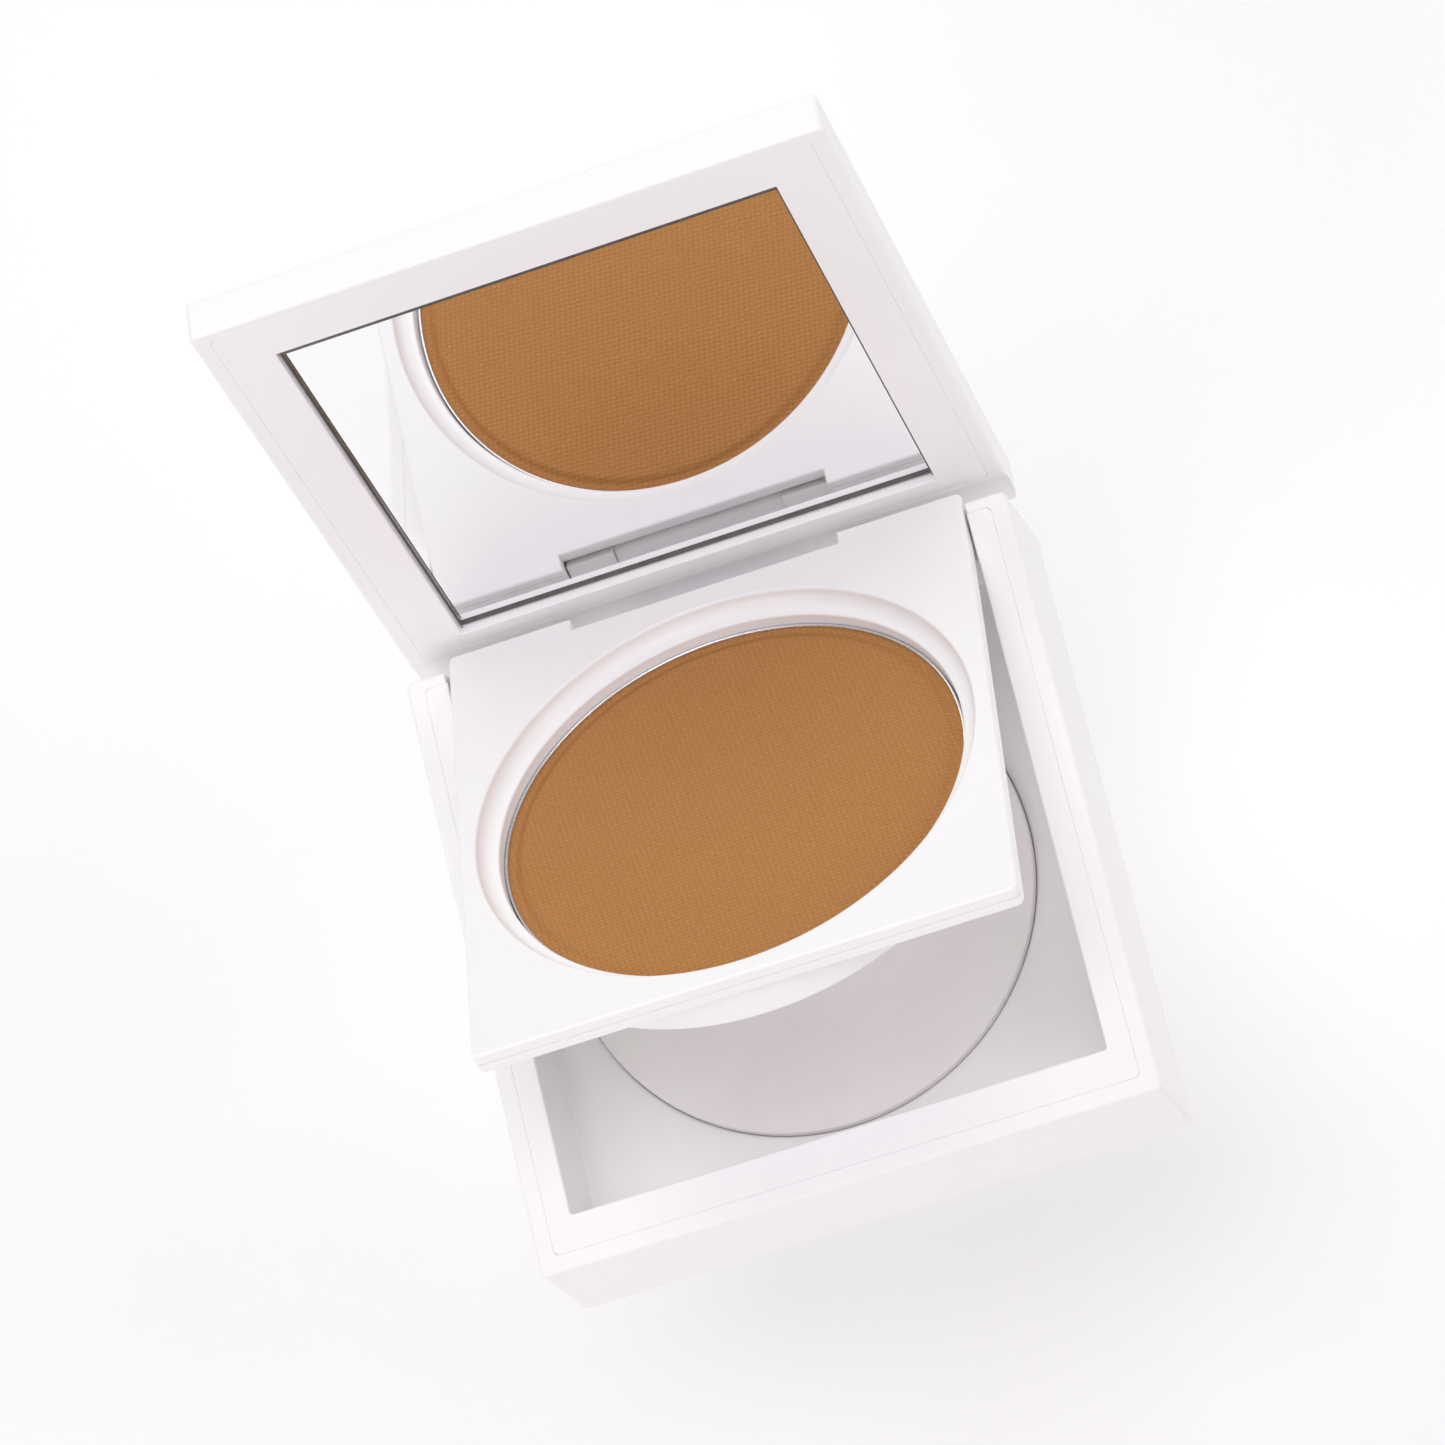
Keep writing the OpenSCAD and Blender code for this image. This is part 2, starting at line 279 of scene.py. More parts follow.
def combine(body, steps, splits=(0,)):
    """Adds or cuts solids in turn; steps is a list of (UNION or DIFFERENCE, bmesh).

    The faces are then split at the planes x = splits, so that none has a hole in it.
    """
    for operation, tool_bm in steps:
        obj, tool = as_object(body), as_object(tool_bm)
        boolean = obj.modifiers.new("join", "BOOLEAN")
        boolean.operation, boolean.object, boolean.solver = operation, tool, "EXACT"
        body = applied(obj)
        bpy.data.objects.remove(tool)
    bmesh.ops.dissolve_degenerate(body, edges=body.edges, dist=1e-4)
    for x in splits:
        cut = bmesh.ops.bisect_plane(body, geom=[*body.verts, *body.edges, *body.faces], dist=1e-4,
                                     plane_co=(x, 0, 0), plane_no=(1, 0, 0))
        for edge in (g for g in cut["geom_cut"] if isinstance(g, bmesh.types.BMEdge)):
            edge.seam = True
    bmesh.ops.dissolve_limit(body, angle_limit=math.radians(0.3), verts=body.verts,
                             edges=body.edges, delimit={"SEAM"})
    return body


MAX_ROUND = 1.5      # widest rounding, which a bevel weight of 1 stands for
OUTER_ROUND = 0.45
FINE_ROUND = 0.12
HAIRLINE_ROUND = 0.06
TINY_ROUND = 0.04
HINGE_ZONE_Y = HINGE_Y - 3    # behind this the edges by the hinge are rounded less
SHARP_ANGLE = 25     # an edge that turns more than this, in degrees, is rounded


def rounded(bm, width_of, segments=4):
    """Rounds each sharp edge by the width that width_of(middle, edge) gives, in millimetres."""
    sharp = math.radians(SHARP_ANGLE)
    weights = bm.edges.layers.float.new("bevel_weight_edge")
    for edge in bm.edges:
        if len(edge.link_faces) == 2 and edge.calc_face_angle(0) > sharp:
            middle = (edge.verts[0].co + edge.verts[1].co) / 2
            edge[weights] = width_of(middle, edge) / MAX_ROUND
    obj = as_object(bm)
    bevel = obj.modifiers.new("round", "BEVEL")
    bevel.limit_method, bevel.width, bevel.segments = "WEIGHT", MAX_ROUND, segments
    bevel.use_clamp_overlap, bevel.loop_slide = False, True
    bevel.miter_outer = "MITER_ARC"
    return applied(obj)


def near(value, target, tolerance=0.02):
    return abs(value - target) < tolerance


def on_outside(middle):
    """True close to the outer sides, front or back of the case."""
    return (abs(middle.x) > CASE.x1 - 0.3 or middle.y < CASE.y0 + 0.3
            or middle.y > CASE.y1 - 0.1)


def add_piece(name, bm, body, material, replaced, smooth_angle=28):
    """Makes a visible piece from a closed-case drawing in millimetres."""
    obj = as_object(bm, name)
    obj.data.transform(opening(body) @ Matrix.Scale(MM, 4))
    obj.data.materials.append(material)
    obj.data.shade_smooth()
    obj.data.set_sharp_from_angle(angle=math.radians(smooth_angle))
    weighted = obj.modifiers.new("even_shading", "WEIGHTED_NORMAL")
    weighted.keep_sharp, weighted.weight = True, 50
    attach(obj, body)
    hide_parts(replaced)
    return obj


# ------------------------------------------------------------------ materials

class Nodes:
    """Short way to build one node material."""

    def __init__(self, name):
        self.material = bpy.data.materials.new(name)
        self.material.use_nodes = True
        self.tree = self.material.node_tree
        self.shader = next(n for n in self.tree.nodes if n.type == "BSDF_PRINCIPLED")
        self.place = self.add("ShaderNodeTexCoord").outputs["Object"]

    def add(self, kind, **inputs):
        node = self.tree.nodes.new(kind)
        for key, value in inputs.items():
            node.inputs[key.replace("_", " ")].default_value = value
        return node

    def link(self, source, target):
        self.tree.links.new(source, target)

    def noise(self, scale, detail=2.0, roughness=0.5):
        """Noise whose scale is in features per millimetre."""
        node = self.add("ShaderNodeTexNoise", Scale=scale / MM, Detail=detail, Roughness=roughness)
        self.link(self.place, node.inputs["Vector"])
        return node.outputs["Fac"]

    def ramp(self, source, stops):
        """Colour ramp through (position, colour) stops, or grey ones for a plain number."""
        node = self.add("ShaderNodeValToRGB")
        elements = node.color_ramp.elements
        while len(elements) < len(stops):
            elements.new(0.5)
        for element, (position, colour) in zip(elements, stops):
            element.position = position
            element.color = (*colour, 1) if isinstance(colour, tuple) else (colour,) * 3 + (1,)
        self.link(source, node.inputs["Fac"])
        return node.outputs["Color"]

    def math(self, operation, first, second):
        node = self.add("ShaderNodeMath")
        node.operation = operation
        for socket, value in zip(node.inputs, (first, second)):
            if isinstance(value, (int, float)):
                socket.default_value = value
            else:
                self.link(value, socket)
        return node.outputs["Value"]

    def tinted(self, colour, amount, tint):
        """The colour, with a share of a tint laid over it."""
        node = self.add("ShaderNodeMixRGB")
        self.link(amount, node.inputs["Fac"])
        self.link(colour, node.inputs["Color1"])
        node.inputs["Color2"].default_value = (*tint, 1)
        return node.outputs["Color"]

    def bump(self, height, strength, distance_mm):
        node = self.add("ShaderNodeBump", Strength=strength, Distance=distance_mm * MM)
        self.link(height, node.inputs["Height"])
        self.link(node.outputs["Normal"], self.shader.inputs["Normal"])

    def set(self, **values):
        for key, value in values.items():
            self.shader.inputs[key.replace("_", " ")].default_value = value
        return self


def moulded_plastic(name, light, dark, rough):
    """Satin injection-moulded plastic: a faint tone drift and a fine spark-eroded skin."""
    n = Nodes(name)
    n.link(n.ramp(n.noise(0.05), [(0.35, dark), (0.65, light)]), n.shader.inputs["Base Color"])
    n.link(n.ramp(n.noise(0.6, 3), [(0.3, rough - 0.04), (0.7, rough + 0.05)]),
           n.shader.inputs["Roughness"])
    n.bump(n.noise(9, 3, 0.6), 0.12, 0.01)
    n.set(IOR=1.49)
    return n.material


WHITE = (0.95, 0.941, 0.947)
COOL_WHITE = (0.945, 0.935, 0.942)
case_plastic = moulded_plastic("case_plastic", WHITE, COOL_WHITE, 0.42)
inner_plastic = moulded_plastic("inner_plastic", WHITE, COOL_WHITE, 0.4)
tray_plastic = moulded_plastic("tray_plastic", WHITE, COOL_WHITE, 0.38)


def mirror_silver():
    """Silvering seen through clear glass, with a trace of haze."""
    n = Nodes("mirror_silver")
    n.set(Base_Color=(0.955, 0.96, 0.965, 1), Metallic=1)
    n.link(n.ramp(n.noise(0.15, 4), [(0.4, 0.012), (0.8, 0.03)]), n.shader.inputs["Roughness"])
    return n.material


def painted_shade_edge():
    """Painted shade at the glass's ground edge: dark grey for the shaded gap round the glass, which
    the silver reflects too.
    """
    n = Nodes("painted_shade_edge")
    n.link(n.ramp(n.noise(0.5, 3), [(0.3, (0.085, 0.085, 0.08)), (0.7, (0.13, 0.125, 0.12))]),
           n.shader.inputs["Base Color"])
    n.set(Roughness=0.25, IOR=1.5)
    n.bump(n.noise(4), 0.1, 0.01)
    return n.material


def brushed_metal(name, colour, rough):
    n = Nodes(name)
    stretched = n.add("ShaderNodeMapping")
    stretched.inputs["Scale"].default_value = (0.1, 4, 4)
    n.link(n.place, stretched.inputs["Vector"])
    n.place = stretched.outputs["Vector"]
    n.set(Base_Color=(*colour, 1), Metallic=1)
    n.link(n.ramp(n.noise(1.5, 4), [(0.3, rough - 0.08), (0.7, rough + 0.08)]),
           n.shader.inputs["Roughness"])
    n.bump(n.noise(3, 3), 0.15, 0.01)
    return n.material


def soft_adhesive():
    n = Nodes("adhesive")
    n.link(n.ramp(n.noise(0.8), [(0.3, (0.62, 0.62, 0.6)), (0.7, (0.72, 0.72, 0.7))]),
           n.shader.inputs["Base Color"])
    n.set(Roughness=0.8)
    n.bump(n.noise(2), 0.3, 0.05)
    return n.material


# Linen pressed into the powder: waves per millimetre across and along the tray, as measured
# on the photograph's powder, and a weight given
LINEN_WAVES = ((-0.12, 1.67, 1.2), (1.42, 0.25, 0.75), (0.65, 0.96, 0.3))
LINEN_SWAY = 0.25    # how far its threads wander, in millimetres
LINEN_TONE_AND_SHADE = 0.06    # how far the weave shifts the colour: darker in its valleys, partly the powder's own tone and partly painted shade

SHADE_RING_R, SHADE_RING_W = 27.9, 0.55    # painted shade: a darker ring near the pan's edge, on the shoulder that slopes away from the light
SHADE_RING_SIDE = (-0.4, 0.9)        # the way, across and along, in which the painted shade is strongest, away from the light
SHADE_RING_GAIN, SHADE_RING_MOST = 0.8, 0.6
# colour of the painted shade ring
SHADE_RING_TINT = (0.36, 0.15, 0.045)


def painted_shade_ring(n):
    """How much of the painted shade ring's colour shows, from 0 to 1: most at the back left, which
    faces away from the light.
    """
    centre = opening("tray") @ (Vector((0, PAN.mid_y, POWDER.z1)) * MM)
    from_axis = n.add("ShaderNodeVectorMath")
    from_axis.operation = "DISTANCE"
    n.link(n.place, from_axis.inputs[0])
    from_axis.inputs[1].default_value = centre
    off_ring = n.math("ABSOLUTE", n.math("SUBTRACT", from_axis.outputs["Value"], SHADE_RING_R * MM), 0.0)
    on_ring = n.math("SUBTRACT", 1.0, n.math("DIVIDE", off_ring, SHADE_RING_W * MM))
    side = n.add("ShaderNodeVectorMath")
    side.operation = "DOT_PRODUCT"
    n.link(n.place, side.inputs[0])
    side.inputs[1].default_value = (*(share / (PAN_R * MM) for share in SHADE_RING_SIDE), 0)
    shown = n.math("MULTIPLY", n.math("MAXIMUM", on_ring, 0.0),
                   n.math("MAXIMUM", side.outputs["Value"], 0.0))
    return n.math("MINIMUM", n.math("MULTIPLY", shown, SHADE_RING_GAIN), SHADE_RING_MOST)


def pressed_powder_look():
    """Matte mineral powder: fine grain, small pale and dark flecks, a linen emboss, and painted
    shade in the emboss's valleys and on a ring near the edge.
    """
    n = Nodes("pressed_powder")
    sway = n.add("ShaderNodeTexNoise", Scale=0.5 / MM, Detail=2.0)
    n.link(n.place, sway.inputs["Vector"])
    swayed = n.add("ShaderNodeVectorMath")
    swayed.operation = "MULTIPLY_ADD"
    n.link(sway.outputs["Color"], swayed.inputs[0])
    swayed.inputs[1].default_value = (LINEN_SWAY * MM,) * 3
    n.link(n.place, swayed.inputs[2])
    down = OPEN_ANGLE["tray"]
    weave = None
    for across, along, weight in LINEN_WAVES:
        wave = n.add("ShaderNodeVectorMath")
        wave.operation = "DOT_PRODUCT"
        n.link(swayed.outputs["Vector"], wave.inputs[0])
        turns = (across, along * math.cos(down), -along * math.sin(down))
        wave.inputs[1].default_value = [2 * math.pi * t / MM for t in turns]
        part = n.math("MULTIPLY", n.math("SINE", wave.outputs["Value"], 0.0), weight)
        weave = part if weave is None else n.math("ADD", weave, part)
    relief = n.math("ADD", weave, n.math("MULTIPLY", n.noise(6, 4, 0.75), 5.0))
    # grain, plus the weave: its valleys darker, partly painted shade
    tone = n.math("ADD", n.noise(7, 4, 0.75), n.math("MULTIPLY", weave, LINEN_TONE_AND_SHADE))
    stops = [(0.24, (0.3, 0.13, 0.042)), (0.36, (0.445, 0.198, 0.062)),
             (0.64, (0.54, 0.249, 0.081)), (0.76, (0.69, 0.37, 0.167))]
    # the powder's colour, darkened near the edge by the painted shade ring
    n.link(n.tinted(n.ramp(tone, stops), painted_shade_ring(n), SHADE_RING_TINT),
           n.shader.inputs["Base Color"])
    n.set(Roughness=0.85, Specular_IOR_Level=0.25)
    n.bump(relief, 0.9, 0.025)
    return n.material


def sponge_foam_look():
    """Fine-pored latex foam."""
    n = Nodes("sponge_foam")
    tone = n.ramp(n.noise(0.12, 3), [(0.3, (0.94, 0.897, 0.885)), (0.7, (0.968, 0.932, 0.922))])
    n.link(tone, n.shader.inputs["Base Color"])
    n.set(Roughness=0.95, Specular_IOR_Level=0.2)
    n.bump(n.noise(5, 4, 0.7), 0.5, 0.08)
    return n.material


mirror_look = mirror_silver()
# dark grey painted shade for the glass's edges
painted_shade_edge_look = painted_shade_edge()
steel = brushed_metal("pin_steel", (0.62, 0.62, 0.64), 0.3)
aluminium = brushed_metal("pan_aluminium", (0.8, 0.8, 0.81), 0.3)
magnet_plating = brushed_metal("magnet_metal", (0.5, 0.5, 0.52), 0.35)
adhesive = soft_adhesive()
powder_look = pressed_powder_look()
foam_look = sponge_foam_look()

KEPT_NODES = {
    "hinge_pin": steel,
    "base_magnets": magnet_plating,
    "lid_magnets": magnet_plating,
    "mirror_adhesive": adhesive,
    "pan_adhesive": adhesive,
}
for node, material in KEPT_NODES.items():
    slots = frame["nodes"][node].data.materials
    slots.clear()
    slots.append(material)


# ------------------------------------------------------------------ base

SEAM_FILL = 0.09     # the set-in mouldings swell to leave only a hairline at the seam


def base_shell():
    x, y0, y1 = CASE.x1, CASE.y0, CASE.y1
    wall = CASE.x1 - LINER.x1 - SEAM
    back_wall = CASE.y1 - LINER.y1 - SEAM
    knuckle_outline = [(0, -KNUCKLE_R), (1.8, -KNUCKLE_R), (1.8, KNUCKLE_R), (0, KNUCKLE_R)]
    cuts = [
        prism(round_rect(x - wall, y0 + wall, y1 - back_wall, RECESS_CORNER_R),
              FLOOR_T, CASE.z1 + 1),
        block(-NOTCH_X, NOTCH_X, HINGE_Y, y1 + 1, BACK_WALL_TOP, CASE.z1 + 1),
        block(-KNUCKLE_X0, KNUCKLE_X0, HINGE_Y, y1 + 1, LUG_SLOT_FLOOR, CASE.z1),
        *both_sides(lambda a, b: block(a, b, HINGE_Y, y1 + 1, EAR_SLOT_FLOOR, CASE.z1),
                    KNUCKLE_X1, EAR_X1 + END_GAP),
    ]
    adds = [
        *both_sides(lambda a, b: hinge_prism(knuckle_outline, a, b), KNUCKLE_X0, KNUCKLE_X1),
        *both_sides(lambda a, b: hinge_bar(KNUCKLE_R, a, b), KNUCKLE_X0, KNUCKLE_X1),
    ]
    steps = [("DIFFERENCE", cut) for cut in cuts] + [("UNION", add) for add in adds]
    steps.append(("DIFFERENCE", hinge_bar(PIN_R + 0.01, -PIN_BORE_X, PIN_BORE_X)))
    solid = combine(prism(round_rect(x, y0, y1, CORNER_R), 0, CASE.z1), steps)

    def width_of(middle, edge):
        if near(middle.z, 0) or near(middle.z, CASE.z1) and on_outside(middle):
            return OUTER_ROUND
        if near(middle.z, CASE.z1):
            return HAIRLINE_ROUND
        if middle.y > HINGE_ZONE_Y and abs(middle.x) < EAR_X1 + 1:
            return TINY_ROUND
        return FINE_ROUND

    return add_piece("base_shell_moulding", rounded(solid, width_of), "base", case_plastic,
                     "base_shell")


POCKET_EDGE_ROUND = 0.45
POCKET_FLOOR_ROUND = 0.4
WELL_FLOOR_ROUND = 0.35
WELL_EDGE_ROUND = 0.3


def base_liner():
    pocket = [(0, POCKET_Z), (POCKET_R, POCKET_Z), (POCKET_R, CASE.z1), (0, CASE.z1)]
    cuts = [
        prism(round_rect(WELL_X, WELL_Y0, WELL_Y1, WELL_CORNER_R), WELL_FLOOR, CASE.z1 + 1),
        block(-WELL_X, WELL_X, WELL_Y1 - 0.5, CASE.y1, LINER_BACK_TOP, CASE.z1 + 1),
        lathe(pocket, 0, POCKET_Y),
        block(-EAR_X1 - 0.5, EAR_X1 + 0.5, HINGE_Y - KNUCKLE_R - 0.2, CASE.y1,
              LINER_SLOT_FLOOR, CASE.z1),
    ]
    outline = round_rect(LINER.x1 + SEAM_FILL, LINER.y0 - SEAM_FILL, LINER.y1 + SEAM_FILL, CORNER_R)
    solid = combine(prism(outline, LINER.z0, CASE.z1), [("DIFFERENCE", cut) for cut in cuts])

    def width_of(middle, edge):
        if near(middle.z, WELL_FLOOR):
            at_pocket = math.hypot(middle.x, middle.y - POCKET_Y) < POCKET_R + 0.05
            return POCKET_EDGE_ROUND if at_pocket else WELL_FLOOR_ROUND
        if near(middle.z, POCKET_Z):
            return POCKET_FLOOR_ROUND
        if near(middle.z, CASE.z1):
            inside = abs(middle.x) < WELL_X + 0.1 and middle.y > WELL_Y0 - 0.1
            return WELL_EDGE_ROUND if inside else HAIRLINE_ROUND
        return TINY_ROUND if middle.y > WELL_Y1 - 0.6 else FINE_ROUND

    return add_piece("base_liner_moulding", rounded(solid, width_of), "base", inner_plastic,
                     "base_liner")


def sponge():
    swell, edge = 0.93, 0.25    # the soft rim presses out towards the pocket wall
    centre_y = POCKET_Y - 0.05
    r = (SPONGE.x1 - SPONGE.x0) / 2 + swell
    profile = [(0, SPONGE.z0), (r - edge, SPONGE.z0)]
    profile += arc(r - edge, SPONGE.z0 + edge, edge, -90, 0, 5)[1:]
    profile += arc(r - edge, SPONGE.z1 - edge, edge, 0, 90, 5)
    rings = 24
    profile += [((r - edge) * (1 - i / rings), SPONGE.z1) for i in range(1, rings + 1)]
    obj = add_piece("sponge_foam", lathe(profile, 0, centre_y), "sponge", foam_look,
                    "sponge")
    return obj


# ------------------------------------------------------------------ lid

def lid_shell():
    x, y0, y1 = CASE.x1, CASE.y0, CASE.y1
    lug = [(1.1, 0), (1.8, -1), (2.6, 0.6), (2.6, 7), (1.1, 7)]
    recess = round_rect(x - LID_WALL, y0 + LID_FRONT_WALL, FRAME.y1 + SEAM, RECESS_CORNER_R)
    solid = combine(prism(round_rect(x, y0, y1, CORNER_R), LID_Z0, LID.z1), [
        ("DIFFERENCE", prism(recess, LID_Z0 - 1, LID.z1 - LID_SKIN)),
        ("DIFFERENCE", hinge_bar(LID_RELIEF_R, -x - 1, x + 1, LID_RELIEF_STEPS)),
        ("UNION", hinge_prism(lug, -LUG_X, LUG_X)),
        ("UNION", hinge_bar(KNUCKLE_R, -LUG_X, LUG_X)),
        ("DIFFERENCE", hinge_bar(PIN_R + PIN_PLAY, -PIN_BORE_X, PIN_BORE_X)),
    ])

    def width_of(middle, edge):
        at_rim = near(middle.z, LID_Z0) and middle.y < HINGE_ZONE_Y
        if on_outside(middle) and (near(middle.z, LID.z1) or at_rim):
            return OUTER_ROUND
        if at_rim:
            return HAIRLINE_ROUND
        by_hinge = middle.y > HINGE_ZONE_Y and middle.z < LID_Z0 + 0.6
        return TINY_ROUND if by_hinge else FINE_ROUND

    return add_piece("lid_shell_moulding", rounded(solid, width_of), "lid", case_plastic,
                     "lid_shell")


def mirror_frame():
    pocket_z = Limits("mirror_adhesive").z1
    half = GLASS.x1 + MIRROR_GAP
    outline = round_rect(FRAME.x1 + SEAM_FILL, FRAME.y0 - SEAM_FILL, FRAME.y1 + SEAM_FILL, CORNER_R)
    solid = combine(prism(outline, FRAME.z0, FRAME.z1), [
        ("DIFFERENCE", hinge_bar(LID_RELIEF_R, -CUT_X, CUT_X, LID_RELIEF_STEPS)),
        ("DIFFERENCE", block(-half, half, GLASS.mid_y - half, GLASS.mid_y + half,
                             FRAME.z0 - 1, pocket_z)),
    ])

    def width_of(middle, edge):
        at_seam = (abs(middle.x) > FRAME.x1 - 0.5 or middle.y < FRAME.y0 + 0.5
                   or middle.y > FRAME.y1 - 0.5)
        return HAIRLINE_ROUND if at_seam else FINE_ROUND

    return add_piece("mirror_frame_moulding", rounded(solid, width_of), "lid",
                     inner_plastic, "mirror_frame")


EDGE_SHADE_W = 0.15      # width of the ground border round the glass, painted dark grey as shade
APPARENT_DEPTH = 0.8    # how deep the silver looks, through 1.2 mm of glass
DARK_DEPTH = 0.45       # depth at which the painted shade of the ground border starts
BEVEL_SIDE_W = 0.13     # width of the painted shade line on the front of the glass, at its sides
BEVEL_FREE_W = 1.15     # and at the free edge, where the lip hides most of it in the main view
BEVEL_T = 0.05
BACKING = 0.03          # paint behind the silver, which keeps it off the adhesive
GLASS_SMOOTH = 20       # flatter than the other pieces, in degrees, to keep the glass crisp


def mirror_plate():
    """Silvered field of the glass, as deep as it looks from in front."""
    plate = block(GLASS.x0 + 0.02, GLASS.x1 - 0.02, GLASS.y0 + 0.02, GLASS.y1 - 0.02,
                  GLASS.z0 + APPARENT_DEPTH, GLASS.z1 - BACKING)
    return add_piece("mirror_plate", rounded(plate, lambda middle, edge: 0.01, 1), "lid",
                     mirror_look, "mirror", GLASS_SMOOTH)


def mirror_edge():
    """Ground border of the glass beside the silver, painted dark grey as the shade of the gap round
    it.
    """
    z0, z1 = GLASS.z0 + DARK_DEPTH, GLASS.z1 - BACKING
    inner = block(GLASS.x0 + EDGE_SHADE_W, GLASS.x1 - EDGE_SHADE_W, GLASS.y0 + EDGE_SHADE_W,
                  GLASS.y1 - EDGE_SHADE_W, z0 - 1, z1 + 1)
    solid = combine(block(GLASS.x0, GLASS.x1, GLASS.y0, GLASS.y1, z0, z1), [("DIFFERENCE", inner)])
    return add_piece("mirror_painted_shade_edge", rounded(solid, lambda middle, edge: 0.03, 2), "lid",
                     painted_shade_edge_look, "mirror", GLASS_SMOOTH)


def mirror_bevel():
    """Front bevel of the glass, along the free edge and both sides, painted dark as the shade line
    where the frame's lip meets the glass.
    """
    z0, z1 = GLASS.z0, GLASS.z0 + BEVEL_T
    inner = block(GLASS.x0 + BEVEL_SIDE_W, GLASS.x1 - BEVEL_SIDE_W,
                  GLASS.y0 + BEVEL_FREE_W, GLASS.y1 + 1, z0 - 1, z1 + 1)
    solid = combine(block(GLASS.x0, GLASS.x1, GLASS.y0, GLASS.y1, z0, z1), [("DIFFERENCE", inner)])
    return add_piece("mirror_front_bevel", rounded(solid, lambda middle, edge: 0.015, 1), "lid",
                     painted_shade_edge_look, "mirror", GLASS_SMOOTH)


# ------------------------------------------------------------------ tray

TRAY_EDGE_ROUND = 0.35
TRAY_SEAM_ROUND = 0.1
TRAY_FOOT_ROUND = 0.3
CUP_ROOT_ROUND = 0.5
CUP_FOOT_ROUND = 0.8


def tray_notch():
    return block(-TRAY_NOTCH_X, TRAY_NOTCH_X, TRAY.y1 - TRAY_NOTCH_D, TRAY.y1 + 1,
                 TRAY_BOTTOM - 1, TRAY.z1 + 1)


def tray_top():
    ledge_edge = arc(PAN_HOLE_R + LEDGE_EDGE_R, LEDGE_Z - LEDGE_EDGE_R, LEDGE_EDGE_R, 180, 90, 5)
    cove = arc(HOLE_R - COVE_R, LEDGE_Z + COVE_R, COVE_R, -87, 0, 14)
    top_edge = arc(HOLE_R + HOLE_EDGE_R, TRAY.z1 - HOLE_EDGE_R, HOLE_EDGE_R, 180, 90, 6)
    hole = [(0, TRAY.z0 - 1), (PAN_HOLE_R, TRAY.z0 - 1), *ledge_edge, *cove[1:], *top_edge,
            (HOLE_R + HOLE_EDGE_R, TRAY.z1 + 1), (0, TRAY.z1 + 1)]
    outline = round_rect(TRAY.x1, TRAY.y0, TRAY.y1, TRAY_CORNER_R)
    solid = combine(prism(outline, TRAY_MID, TRAY.z1), [
        ("UNION", disc(COLLAR_R, 0, PAN.mid_y, COLLAR_Z, TRAY_MID + 0.5)),
        ("UNION", disc(NECK_R, 0, PAN.mid_y, TRAY.z0, TRAY_MID + 0.4)),
        ("DIFFERENCE", lathe(hole, 0, PAN.mid_y)),
        ("DIFFERENCE", tray_notch()),
    ])

    def width_of(middle, edge):
        if near(middle.z, TRAY.z1):
            return TRAY_EDGE_ROUND
        at_seam = near(middle.z, TRAY_MID) or near(middle.z, TRAY.z0)
        return TRAY_SEAM_ROUND if at_seam else TINY_ROUND

    return add_piece("tray_top_plate", rounded(solid, width_of, 6), "tray", tray_plastic,
                     "tray_top")


def tray_underside():
    outline = round_rect(TRAY.x1, TRAY.y0, TRAY.y1, TRAY_CORNER_R)
    inset = round_rect(TRAY.x1 - REVEAL, TRAY.y0 + REVEAL, TRAY.y1 - REVEAL, TRAY_CORNER_R)
    ear = [(-2.1, 0), (2.1, 0), (1.6, TRAY_RELIEF_R + 0.5), (-2.1, TRAY_RELIEF_R + 0.5)]
    ears = [
        *both_sides(lambda a, b: hinge_prism(ear, a, b), EAR_X0, EAR_X1),
        *both_sides(lambda a, b: hinge_bar(KNUCKLE_R, a, b), EAR_X0, EAR_X1),
    ]
    solid = combine(prism(outline, TRAY_BOTTOM, TRAY_MID - REVEAL), [
        ("UNION", prism(inset, TRAY_BOTTOM + 0.5, TRAY_MID)),
        ("UNION", disc(CUP_R, 0, CUP_Y, UNDER.z0, TRAY_BOTTOM + 0.5)),
        ("DIFFERENCE", disc(COLLAR_R + JOINT_GAP, 0, PAN.mid_y, COLLAR_Z - JOINT_GAP, TRAY.z1)),
        ("DIFFERENCE", disc(NECK_R + JOINT_GAP, 0, PAN.mid_y, TRAY.z0 - JOINT_GAP, TRAY.z1)),
        ("DIFFERENCE", disc(PAN_SEAT_R, 0, PAN.mid_y, Limits("pan_adhesive").z0, TRAY.z1)),
        ("DIFFERENCE", hinge_bar(TRAY_RELIEF_R, -CUT_X, CUT_X, TRAY_RELIEF_STEPS)),
        ("DIFFERENCE", tray_notch()),
        *[("UNION", add) for add in ears],
        ("DIFFERENCE", hinge_bar(PIN_R + PIN_PLAY, -PIN_BORE_X, PIN_BORE_X)),
    ])

    def width_of(middle, edge):
        if near(middle.z, UNDER.z0) and not near(middle.z, HINGE_Z, 2):
            return CUP_FOOT_ROUND
        if near(middle.z, TRAY_BOTTOM) and middle.y < HINGE_Y - 5:
            at_cup = math.hypot(middle.x, middle.y - CUP_Y) < CUP_R + 0.05
            return CUP_ROOT_ROUND if at_cup else TRAY_FOOT_ROUND
        return TINY_ROUND

    return add_piece("tray_underside_cup", rounded(solid, width_of, 4), "tray", tray_plastic,
                     "tray_underside")


def powder_pan():
    wall, floor, rim, foot = 0.35, 0.4, 0.17, 0.6
    inner = PAN_R - wall
    profile = [(0, PAN.z0), *arc(PAN_R - foot, PAN.z0 + foot, foot, -90, 0, 5)]
    profile += arc(PAN_R - rim, PAN.z1 - rim, rim, 0, 180, 8)
    profile += [(inner, PAN.z0 + floor), (0, PAN.z0 + floor)]
    return add_piece("pan_pressed_aluminium", lathe(profile, 0, PAN.mid_y), "tray", aluminium,
                     "powder_pan")


